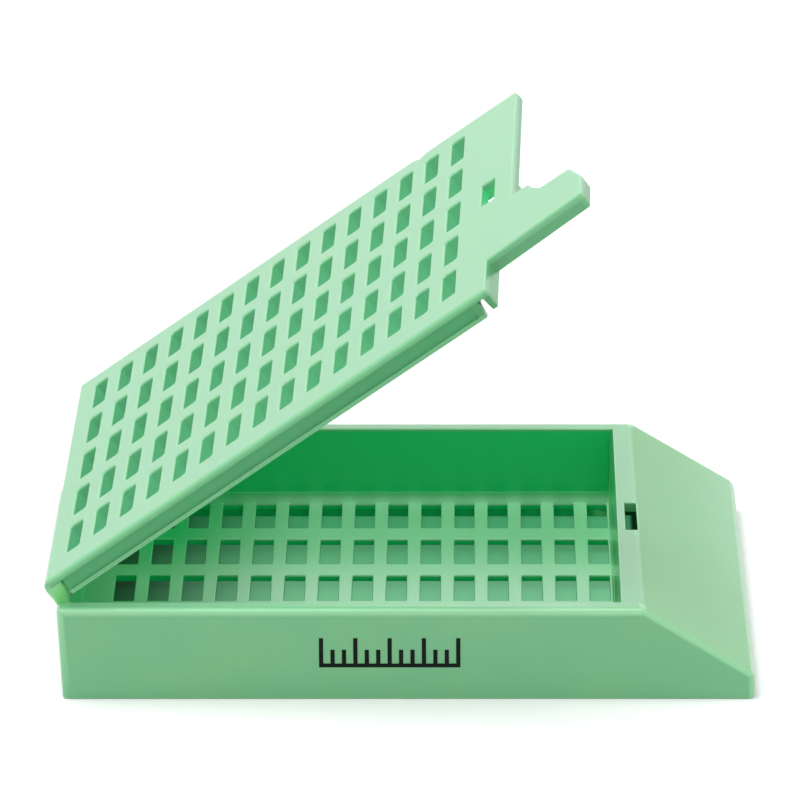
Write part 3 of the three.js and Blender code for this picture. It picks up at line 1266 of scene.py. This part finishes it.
@dataclass
class Lid:
    """The perforated lid with its finger tab, end lip, window and latch tongue.

    Its own frame has the hinge edge at x = 0, the front side at y = 0 and the top face at z = 0.
    """

    place_when_open: Matrix
    width: float
    body: str
    node: str
    finish: MouldedPlastic

    depth: float = 1.5 * MM
    lip_depth: float = 0.39 * MM
    overhang: float = 0.22 * MM
    bead: float = 0.27 * MM
    bead_inset: float = 0.04 * MM
    panel_start: float = 0.9 * MM
    panel_stop: float = 29.98 * MM
    panel_end: float = 30.85 * MM
    post_start: float = 30.45 * MM
    post_depth: float = 0.6 * MM
    front_length: float = 31.73 * MM
    rear_length: float = 33.34 * MM
    flange: float = 0.7 * MM
    hinge_edge: float = 0.45 * MM
    end_lip: float = 0.42 * MM
    end_lip_depth: float = 1.3 * MM
    end_lip_taper: float = 0.09 * MM
    slit_narrowing: float = 0.15 * MM
    tab_thickness: float = 1.0 * MM
    tab_near: float = 4.35 * MM
    tab_taper: float = 0.6 * MM
    tab_tip: float = 38.38 * MM
    tip_corner: tuple[float, float] = (37.62 * MM, 9.8 * MM)
    finger_far: float = 10.05 * MM
    finger_root: float = 35.4 * MM
    root_far: float = 11.85 * MM
    root_end: float = 34.7 * MM
    root_corner: tuple[float, float] = (34.62 * MM, 11.8 * MM)
    chamfer_start: float = 37.4 * MM
    chamfer_near: float = 7.749 * MM
    window_start: float = 31.1 * MM
    window_end: float = 32.0 * MM
    window_near: float = 13.2 * MM
    window_far: float = 16.438 * MM
    sill_far: float = 18.007 * MM
    tongue_thickness: float = 0.36 * MM
    tongue_near: float = 12.4 * MM
    tongue_far: float = 15.2 * MM
    tongue_reach: float = 1.9 * MM
    tongue_set_back: float = 0.12 * MM
    barb_height: float = 0.4 * MM
    nick_bottom: float = 26.05 * MM
    nick_depth: float = 0.36 * MM
    along: HoleRow = HoleRow(1.32 * MM, 0.92 * MM, 1.945 * MM, 15)
    across: HoleRow = HoleRow(2.62 * MM, 3.56 * MM, 5.129 * MM, 5)
    after_holes: float = 0.3 * MM

    corner_round: float = 0.38 * MM
    top_round: float = 0.36 * MM
    tab_round: float = 0.30 * MM
    hole_corner_round: float = 0.18 * MM
    hole_round: float = 0.14 * MM
    top_inner_round: float = 0.13 * MM
    foot_round: float = 0.09 * MM
    upright_round: float = 0.06 * MM
    least_round: float = 0.045 * MM
    lip_round: float = 0.012 * MM

    shades: LidShades = LidShades()

    def __post_init__(self) -> None:
        """Work out where the latch tongue's outer face and tip are."""
        self.tongue_face = self.rear_length - self.tongue_set_back
        self.tongue_tip = -self.flange - self.tongue_reach

    def _filled(self, x: float, y: float, z: float) -> bool:
        """Whether there is plastic at a place of the uncut box.

        Args:
            x: Place from the hinge edge.
            y: Place from the front side.
            z: Height, below 0.

        Returns:
            Whether the cell there is filled.
        """
        if self._in_tongue(x, y, z):
            return True
        if z < -self.depth:
            return False
        if self.window_start < x < self.window_end and self.window_near < y < self.window_far:
            return False
        if x > self.front_length - self.end_lip and self.tab_near < y < self.root_far:
            reach = self.tab_tip if y < self.finger_far else self.root_end
            if x < reach and z > -self.tab_thickness:
                return True
            if x < self.front_length and y < self.chamfer_near:
                return z > -self.end_lip_depth
        if x < self.panel_end:
            return self._in_panel(x, y, z)
        if x < self.window_end and self.window_far < y < self.sill_far:
            return z > -self.tab_thickness
        if y < self.tab_near:
            return x < self.front_length and z > -self._lip_at(x, y)
        edge = y > self.width - self.overhang
        return x < self.rear_length and z > -(self.lip_depth if edge else self.flange)

    def _lip_at(self, x: float, y: float) -> float:
        """How thick the end of the lid is beside the tab.

        Args:
            x: Place from the hinge edge.
            y: Place from the front side.

        Returns:
            The thickness there.
        """
        if x > self.front_length - self.end_lip:
            return self.end_lip_depth
        return self.lip_depth if y < self.overhang else self.hinge_edge

    def _in_panel(self, x: float, y: float, z: float) -> bool:
        """Whether there is plastic in the perforated part or the thin hinge edge.

        Args:
            x: Place from the hinge edge.
            y: Place from the front side.
            z: Height, below 0.

        Returns:
            Whether the cell there is filled.
        """
        if x < self.panel_start:
            return z > -self.hinge_edge
        if y < self.overhang or y > self.width - self.overhang:
            post = y < self.overhang and x > self.post_start
            return z > -self.lip_depth or z < -self.depth + self.bead or post
        if x > self.panel_stop and y > self.post_depth:
            return z > -self.flange
        return not (self.along.inside(x) and self.across.inside(y))

    def _in_tongue(self, x: float, y: float, z: float) -> bool:
        """Whether a place is in the latch tongue or its barb.

        Args:
            x: Place from the hinge edge.
            y: Place from the front side.
            z: Height, below 0.

        Returns:
            Whether the cell there is part of the tongue.
        """
        if not (self.tongue_near < y < self.tongue_far and self.tongue_tip < z < -self.flange):
            return False
        barb = z < self.tongue_tip + self.barb_height
        outer = self.rear_length if barb else self.tongue_face
        return self.tongue_face - self.tongue_thickness < x < outer

    def _place(self, x: float, y: float, z: float) -> Vector:
        """Move a corner of the uncut box to its true place.

        Args:
            x: Place of the corner from the hinge edge.
            y: Place from the front side.
            z: Height, below 0.

        Returns:
            The true place.
        """
        spot = Vector((x, y, z))
        if x > self.front_length + TINY and lies_at(y, self.tab_near):
            spot.y += self.tab_taper * (x - self.front_length) / (self.tab_tip - self.front_length)
        if lies_at(y, self.finger_far) and lies_at(x, self.tab_tip):
            spot.xy = self.tip_corner
        if lies_at(y, self.finger_far) and lies_at(x, self.root_end):
            spot.x = self.finger_root
        if lies_at(y, self.root_far) and lies_at(x, self.root_end):
            spot.xy = self.root_corner
        if lies_at(x, self.nick_bottom) and y > self.width - self.overhang - TINY:
            spot.y -= self.nick_depth
        if y < self.tab_near + TINY and z < TINY - self.hinge_edge:
            share = min(1.0, (-self.hinge_edge - z) / (self.end_lip_depth - self.hinge_edge))
            if lies_at(x, self.front_length - self.end_lip):
                spot.x += self.end_lip_taper * share
            elif lies_at(x, self.panel_end):
                spot.x += self.slit_narrowing * (1 - share)
        if lies_at(y, 0.0) and z < -self.depth + self.bead + TINY:
            spot.y += self.bead_inset
        return spot

    def _rounding(self, mid: Vector, along: int, facing: set[int]) -> float:
        """How much an edge of the lid is rounded.

        Args:
            mid: Its middle in the uncut box.
            along: The axis that it runs along.
            facing: The axes that its faces look along.

        Returns:
            The width of the rounding.
        """
        if len(facing) == 1:
            return 0.0
        side = lies_at(mid.y, 0.0, self.width)
        hole = self.panel_start < mid.x < self.panel_end - self.after_holes and self.across.spans(mid.y)
        if along == 2:
            if side and lies_at(mid.x, 0.0):
                return self.corner_round
            if lies_at(mid.x, self.rear_length) and lies_at(mid.y, self.width):
                return self.corner_round
            if mid.x > self.rear_length + TINY:
                return self.tab_round
            return self.hole_corner_round if hole else self.upright_round
        if lies_at(mid.z, 0.0):
            if side and along == 0:
                return self.top_round
            return self.hole_round if hole else self.top_inner_round
        if side and lies_at(mid.z, -self.lip_depth):
            return self.lip_round
        if side and lies_at(mid.z, -self.depth):
            return self.foot_round
        return self.least_round

    def _spare(self, mid: Vector, along: int, facing: set[int]) -> bool:
        """Whether a flat line of the lid is only in the way of the rounding of its corners and edges.

        Args:
            mid: Its middle in the uncut box.
            along: The axis that it runs along.
            facing: The axes that its faces look along.

        Returns:
            Whether to take it out.
        """
        beside = lies_at(mid.y, self.overhang, self.width - self.overhang) and along != 1
        inside = lies_at(mid.x, self.tongue_face - self.tongue_thickness, self.tongue_face) and along != 0
        ledge = lies_at(mid.y, 0.0, self.width) and along == 0
        ledge = ledge and (mid.z > -self.lip_depth + TINY or mid.x < self.panel_start)
        ends = lies_at(mid.x, 0.0, self.rear_length, self.front_length, self.tab_tip)
        levels = along != 2 and facing != {2} and (ends or ledge)
        return beside or inside or levels

    def build(self) -> bpy.types.Object:
        """Build and dress the lid.

        Returns:
            The lid, riding on its body.
        """
        cuts_x = merged(
            [0.0, self.panel_start, self.nick_bottom, self.panel_stop, self.post_start, self.panel_end],
            [self.window_start, self.front_length - self.end_lip, self.front_length, self.window_end],
            [self.tongue_face - self.tongue_thickness, self.tongue_face, self.rear_length],
            [self.root_end, self.chamfer_start, self.tab_tip],
            self.along.cuts(),
        )
        cuts_y = merged(
            [0.0, self.overhang, self.post_depth, self.tab_near],
            [self.chamfer_near, self.finger_far, self.root_far],
            [self.window_near, self.window_far, self.tongue_near, self.tongue_far],
            [self.width - self.overhang, self.width],
            self.across.cuts(),
        )
        cuts_z = merged(
            [0.0, -self.lip_depth, -self.hinge_edge, -self.flange, -self.tab_thickness],
            [-self.depth + self.bead, -self.end_lip_depth, -self.depth],
            [self.tongue_tip, self.tongue_tip + self.barb_height],
        )
        solid = CellSolid((cuts_x, cuts_y, cuts_z), self._filled, self._place, self._rounding, self._spare)
        lid = solid.object("moulded_lid")
        settle(lid, self.place_when_open)
        lid.data.materials.append(self.finish.material(self._painted_shade_and_glow, self._matt, self._painted_light))
        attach(lid, self.body)
        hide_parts(self.node)
        return lid

    def _painted_shade_and_glow(self, x: Value, y: Value, z: Value) -> Value:
        """How much painted shade and painted glow a point gets in a hole, the window, on the face of the
        flange or in the groove along the side.

        Args:
            x: Its place from the hinge edge.
            y: Its place from the front side.
            z: Its height, below 0.

        Returns:
            0 on open skin and 1 where the painted shade is darkest.
        """
        soft = self.shades
        inner = y.rising(soft.front) * y.falling(soft.back) * x.rising(soft.start) * x.falling(soft.end)
        inner = inner * z.falling(soft.sunk_shade)
        lit_wall = y.rising(soft.window_wall, self.window_far) * z.rising(soft.window_wall_top)
        at_window = x.rising(soft.window_start, self.window_start)
        at_window = at_window * y.rising(soft.window_near, self.window_near)
        at_window = at_window * y.falling(soft.window_far, self.window_far)
        shaft = at_window * (1 - lit_wall) * soft.window_share
        flange_face = z.falling(soft.flange_face) * x.rising(soft.flange_start)
        flange_face = flange_face * y.rising((self.finger_far, self.root_far)) * soft.flange_share
        holes = x.falling(soft.holes_stop) * soft.holes_share
        groove = y.falling(soft.groove_side, self.overhang) * y.rising(soft.groove_back, self.overhang)
        groove = groove * z.falling(soft.groove_top) * z.rising(soft.groove_foot)
        inside = inner * holes.either(shaft).either(flange_face)
        return inside.either(groove * soft.groove_share)

    def _matt(self, x: Value, y: Value, z: Value) -> Value:
        """How matt the side faces are, which the mould leaves less glossy than the top, and how much
        painted shade darkens them.

        Args:
            x: A point's place from the hinge edge.
            y: Its place from the front side.
            z: Its height, below 0.

        Returns:
            0 on the top face and 1 in the recess along the front.
        """
        soft = self.shades
        at_front = y.falling(soft.front_face)
        face = z.falling(soft.side_face).either(z.falling(soft.front_face_top) * at_front)
        # Painted shade under the lip: darkest in the recess, less on the bead and along the back.
        recess = z.falling(soft.recess_top) * z.rising(soft.recess_foot) * soft.recess_more
        bead = z.falling(soft.bead_top) * soft.bead_less
        return face * (soft.side_share + recess - bead - (1 - at_front) * soft.back_less)

    def _painted_light(self, x: Value, y: Value, z: Value) -> Value:
        """How much painted light and painted glow a point gets: on the walls of the holes.

        Args:
            x: A point's place from the hinge edge.
            y: Its place from the front side.
            z: Its height, below 0.

        Returns:
            1 on the walls of the holes and 0 elsewhere.
        """
        soft = self.shades
        inner = y.rising(soft.hole_front) * y.falling(soft.back) * z.falling(soft.hole_wall)
        return inner * x.rising(soft.start) * x.falling(soft.hole_end)


# ---- Hinge straps ----


@dataclass
class HingeStraps:
    """Two curved film straps, moulded from the rim of the tray to the hinge edge of the lid."""

    tray_corner: Vector
    lid_place: Matrix
    width: float
    rim: float
    tray_body: str
    lid_body: str
    finish: MouldedPlastic

    wall: float = 0.70 * MM
    gap: float = 1.6 * MM
    margin_foot: float = 0.95 * MM
    margin_top: float = 0.20 * MM
    bulge: float = 0.80 * MM
    flush: float = 0.25 * MM
    outer_foot: Point = (0.05 * MM, 0.0, -0.30 * MM)
    outer_rise: Point = (-0.10 * MM, 0.0, 0.35 * MM)
    inner_foot: Point = (0.70 * MM, 0.0, -0.10 * MM)
    inner_rise: Point = (0.66 * MM, 0.0, 0.60 * MM)
    outer_grip: Point = (0.40 * MM, 0.0, -0.004 * MM)
    inner_bend: Point = (0.66 * MM, 0.0, -1.05 * MM)
    inner_grip: Point = (0.84 * MM, 0.0, -0.42 * MM)
    end_round: float = 0.22 * MM
    film_start: Band = (-0.60 * MM, -0.15 * MM)
    film_top: Band = (1.2 * MM, 2.0 * MM)
    steps_along: int = 22
    steps_round: int = 4
    steps_across: int = 18

    def _faces(self, share: float, side: Side) -> tuple[list[Vector], list[Vector]]:
        """Four guiding points each of the strap's outer and inner face, from the tray to the lid.

        Args:
            share: 0 at the strap's near end and 1 at its far end.
            side: Which strap.

        Returns:
            The outer and the inner guide.
        """
        out = self.bulge if side is Side.FRONT else self.flush
        rim = self.tray_corner + Vector((0.0, self._reach(self.margin_foot, share, side), self.rim))
        edge = Vector((0.0, self._reach(self.margin_top, share, side), 0.0))
        outer = [
            rim + Vector(self.outer_foot),
            rim + Vector(self.outer_rise),
            self.lid_place @ (edge - Vector((out, 0.0, 0.0))),
            self.lid_place @ (edge + Vector(self.outer_grip)),
        ]
        inner = [
            rim + Vector(self.inner_foot),
            rim + Vector(self.inner_rise),
            self.lid_place @ (edge + Vector(self.inner_bend)),
            self.lid_place @ (edge + Vector(self.inner_grip)),
        ]
        return outer, inner

    def _reach(self, margin: float, share: float, side: Side) -> float:
        """Place along the hinge of a share of one strap.

        Args:
            margin: What the strap leaves free at the side of the cassette.
            share: 0 at the strap's near end and 1 at its far end.
            side: Which strap.

        Returns:
            The distance from the front of the cassette.
        """
        middle = (self.width - self.gap) / 2
        near, far = margin, middle
        if side is Side.REAR:
            near, far = self.width - middle, self.width - margin
        return near + (far - near) * share

    def _strap(self, side: Side) -> bpy.types.Object:
        """Build one strap.

        Args:
            side: Which strap.

        Returns:
            The strap, bending between the tray and the lid.
        """
        length = (self.width - self.gap) / 2 - self.margin_top
        turns = [math.pi / 2 * n / self.steps_round for n in range(self.steps_round)]
        ends = [(self.end_round * (1 - math.cos(turn)), math.sin(turn)) for turn in turns]
        flat = length - 2 * self.end_round
        places = list(ends)
        steps = [flat * n / self.steps_along for n in range(self.steps_along + 1)]
        places += [(self.end_round + step, 1.0) for step in steps]
        places += [(length - out, full) for out, full in ends[::-1]]
        lost = 2 * self.end_round / self.wall
        bm = bmesh.new()
        rings = []
        for place, full in places:
            rings.append(self._ring(bm, self._faces(place / length, side), 1 - lost * (1 - full)))
        for one, two in zip(rings, rings[1:]):
            for n in range(len(one)):
                m = (n + 1) % len(one)
                bm.faces.new((one[n], one[m], two[m], two[n]))
        half = len(rings[0]) // 2
        for ring in (rings[0], rings[-1]):
            for n in range(half - 1):
                bm.faces.new((ring[n], ring[n + 1], ring[-n - 2], ring[-n - 1]))
        bmesh.ops.recalc_face_normals(bm, faces=bm.faces)
        return linked_piece(f"film_strap_{side.value}", bm, smooth=True)

    def _ring(
        self, bm: bmesh.types.BMesh, faces: tuple[list[Vector], list[Vector]], ease: float
    ) -> list[bmesh.types.BMVert]:
        """One closed loop round the strap's section.

        Args:
            bm: The mesh to add to.
            faces: The guides of the outer and the inner face.
            ease: How full the section is, less than 1 at the ends.

        Returns:
            The loop's corners.
        """
        outer, inner = [], []
        for n in range(self.steps_across + 1):
            skin, back = (bezier(guide, n / self.steps_across) for guide in faces)
            middle = (skin + back) / 2
            outer.append(bm.verts.new(middle + (skin - middle) * ease))
            inner.append(bm.verts.new(middle + (back - middle) * ease))
        return outer + inner[::-1]

    def build(self) -> list[bpy.types.Object]:
        """Build and dress both straps.

        Returns:
            The straps.
        """
        material = self.finish.material(self._painted_shade_and_glow)
        made = []
        for side in Side:
            strap = self._strap(side)
            strap.data.transform(Matrix.Translation(-self.tray_corner))
            settle(strap, Matrix.Translation(self.tray_corner))
            strap.data.materials.append(material)
            outer, inner = self._faces(0.5, side)
            start, end = ((outer[n] + inner[n]) / 2 for n in (0, 3))
            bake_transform(strap)
            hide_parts(f"hinge_strap_{side.value}")
            made.append(strap)
        return made

    def _painted_shade_and_glow(self, x: Value, y: Value, z: Value) -> Value:
        """How much painted light through the film shows, as a paler yellow green with a faint painted
        glow, from none on its outer face to full behind it.
        """
        return x.rising(self.film_start) * z.falling(self.film_top, self.rim)


def bezier(guide: list[Vector], share: float) -> Vector:
    """A point of the cubic curve on four guiding points.

    Args:
        guide: The guiding points.
        share: 0 at the first and 1 at the last.

    Returns:
        The point.
    """
    rest = 1 - share
    weights = (rest**3, 3 * rest**2 * share, 3 * rest * share**2, share**3)
    return sum((point * weight for point, weight in zip(guide, weights)), Vector())


# ---- Printed scale ----


@dataclass
class PrintedScale:
    """A plain printed scale of ticks on the front wall, where a lab would mark the cassette."""

    tray: Tray
    ink: PrintedInk

    start: float = 15.3 * MM
    length: float = 8.25 * MM
    foot: float = 2.1 * MM
    stroke: float = 0.25 * MM
    tall: float = 1.9 * MM
    short: float = 1.15 * MM
    ticks: int = 13
    every: int = 3
    film: float = 0.012 * MM

    def build(self) -> bpy.types.Object:
        """Build the ticks and their base line as one thin film of ink.

        Returns:
            The print, riding with the tray.
        """
        bm = bmesh.new()
        pitch = (self.length - self.stroke) / (self.ticks - 1)
        for tick in range(self.ticks):
            x = self.start + tick * pitch
            top = self.tall if tick % self.every == 0 else self.short
            self._bar(bm, x, x + self.stroke, self.foot + self.stroke, self.foot + top)
        self._bar(bm, self.start, self.start + self.length, self.foot, self.foot + self.stroke)
        mark = linked_piece("printed_scale", bm, smooth=False)
        settle(mark, Matrix.Translation(self.tray.corner))
        mark.data.materials.append(self.ink.material())
        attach(mark, self.tray.body)
        return mark

    def _bar(self, bm: bmesh.types.BMesh, left: float, right: float, low: float, high: float) -> None:
        """Add one flat bar of ink on the leaning wall.

        Args:
            bm: The mesh to add to.
            left: Where the bar starts, from the hinge end.
            right: Where it ends.
            low: Its lower edge.
            high: Its upper edge.
        """
        corners = []
        for raised in (0.0, self.film):
            for x, z in ((left, low), (right, low), (right, high), (left, high)):
                wall = self.tray.outer_lean * (1 - z / self.tray.height)
                corners.append(bm.verts.new((x, wall - raised, z)))
        back, front = corners[:4], corners[4:]
        bm.faces.new(front)
        bm.faces.new(back[::-1])
        for n in range(4):
            m = (n + 1) % 4
            bm.faces.new((back[n], back[m], front[m], front[n]))


# ---- Studio ----


@dataclass(frozen=True)
class Lamp:
    """One soft square lamp: its name, where it hangs, its side in metres and its power in watts."""

    name: str
    spot: Point
    size: float
    power: float

    def hang(self, aim: Vector) -> None:
        """Hang the lamp so that it faces a point and is not itself seen.

        Args:
            aim: The point.
        """
        light = bpy.data.lights.new(f"{self.name}_lamp", "AREA")
        light.shape = "SQUARE"
        light.size = self.size
        light.energy = self.power
        lamp = bpy.data.objects.new(light.name, light)
        bpy.context.scene.collection.objects.link(lamp)
        lamp.location = self.spot
        lamp.rotation_euler = (aim - Vector(self.spot)).to_track_quat("-Z", "Y").to_euler()
        lamp.visible_camera = False


@dataclass
class Studio:
    """A white paper floor, soft lamps and the camera."""

    low: Vector
    high: Vector
    tray_low: Vector
    tray_high: Vector

    lamps: tuple[Lamp, ...] = (
        Lamp("overhead", (-0.25, -0.05, 1.02), 0.44, 6.3),
        Lamp("back", (0.10, 1.25, 0.55), 1.2, 1.2),
        Lamp("front", (0.15, -1.20, 0.55), 1.1, 0.80),
    )
    ambient: Colour = (0.70, 0.70, 0.70)
    floor_half: float = 3.0
    lens: float = 313.63
    sensor: float = 36.0
    nearest: float = 0.01
    farthest: float = 50.0
    distance: float = 419.2 * MM
    bearing: float = -0.654
    elevation: float = 22.352
    roll: float = -0.284
    aim_offset: Point = (-0.23 * MM, 3.97 * MM, -3.45 * MM)

    def build(self) -> None:
        """Build the floor, the world, the lamps and the camera."""
        self._floor()
        self._world()
        for lamp in self.lamps:
            lamp.hang((self.low + self.high) / 2)
        self._camera()

    def _floor(self) -> None:
        """Lay the paper under the cassette."""
        bm = bmesh.new()
        ring = []
        for across, along in ((-1, -1), (1, -1), (1, 1), (-1, 1)):
            ring.append(bm.verts.new((across * self.floor_half, along * self.floor_half, self.low.z)))
        bm.faces.new(ring)
        floor = linked_piece("paper_floor", bm, smooth=False)
        settle(floor, Matrix.Identity(4))
        floor.data.materials.append(PalePaper().material(self.tray_low, self.tray_high))

    def _world(self) -> None:
        """Even white surroundings, with pure white where they are seen or mirrored."""
        world = bpy.data.worlds.new("white_room")
        bpy.context.scene.world = world
        world.use_nodes = True
        shader = Shader(world.node_tree)
        lit = shader.node("ShaderNodeBackground", None, {"Color": (*self.ambient, 1.0), "Strength": 1.0})
        white = shader.node("ShaderNodeBackground", None, {"Color": WHITE, "Strength": 1.0})
        seen = shader.ray("Camera").either(shader.ray("Glossy")).either(shader.ray("Transmission"))
        shown = shader.node("ShaderNodeMixShader", None, {0: seen, 1: lit, 2: white})
        shader.node("ShaderNodeOutputWorld", None, {"Surface": shown})

    def _camera(self) -> None:
        """Set up the camera on a long lens, level but for a slight roll."""
        yaw, rise = math.radians(self.bearing), math.radians(self.elevation)
        ahead = Vector((math.sin(yaw) * math.cos(rise), math.cos(yaw) * math.cos(rise), -math.sin(rise)))
        level = Vector((math.cos(yaw), -math.sin(yaw), 0.0))
        roll = math.radians(self.roll)
        right = level * math.cos(roll) + level.cross(ahead) * math.sin(roll)
        up = right.cross(ahead)
        aim = (self.low + self.high) / 2 + Vector(self.aim_offset)
        data = bpy.data.cameras.new("camera")
        data.sensor_width = self.sensor
        data.lens = self.lens
        data.clip_start = self.nearest
        data.clip_end = self.farthest
        camera = bpy.data.objects.new("camera", data)
        bpy.context.scene.collection.objects.link(camera)
        turn = Matrix((right, up, -ahead)).transposed().to_4x4()
        camera.matrix_world = Matrix.Translation(aim - ahead * self.distance) @ turn
        bpy.context.scene.camera = camera
        bpy.context.scene.view_settings.view_transform = "Standard"


def main() -> None:
    """Build the cassette and its studio, and report each piece."""
    logging.basicConfig(level=logging.INFO, format="%(name)s: %(message)s")
    hinge = Hinge.from_joint(frame["joints"][0])
    tray_body, lid_body = frame["joints"][0]["parent"], frame["joints"][0]["child"]
    tray_low, tray_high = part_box("tray")
    shut_low, shut_high = hinge.shut_box(frame["nodes"]["lid"])
    lid_corner = Vector((shut_low.x, tray_low.y, shut_high.z))
    lid_place = hinge.swing(-hinge.shut_angle) @ Matrix.Translation(lid_corner)
    size = tray_high - tray_low

    tray = Tray(tray_low, *size, tray_body, "tray", MouldedPlastic("tray_plastic"))
    # The lid is the tray's plastic; its lighter skin colours are painted light for its brighter top.
    lid_finish = MouldedPlastic(
        "lid_plastic",
        skin=(0.168, 0.524, 0.252),
        warm=(0.178, 0.530, 0.244),
        cool=(0.158, 0.520, 0.262),
        # A darker side colour, painted shade.
        chalky_and_painted_shade=(0.058, 0.318, 0.114),
        painted_highlight_share=0.15,
        thin=(0.085, 0.500, 0.225),
        painted_pale_glow=(0.045, 0.085, 0.060),
        painted_inner_glow=(0.030, 0.160, 0.080),
    )
    lid = Lid(lid_place, size.y, lid_body, "lid", lid_finish)
    # The straps' painted light through the film: a paler yellow green with a faint painted glow.
    film = MouldedPlastic(
        "strap_plastic",
        painted_shade_and_light=(0.20, 0.58, 0.20),
        painted_inner_glow=(0.00, 0.04, 0.01),
        gloss_lost_deep=0.5,
        scatter=0.5,
    )
    straps = HingeStraps(tray_low, lid_place, size.y, size.z, tray_body, lid_body, film)
    pieces = [tray.build(), lid.build(), *straps.build(), PrintedScale(tray, PrintedInk()).build()]
    for piece in pieces:
        log.info("%s: %d faces", piece.name, len(piece.data.polygons))
    Studio(*cad_box, tray_low, tray_high).build()


if __name__ == "__main__":
    main()
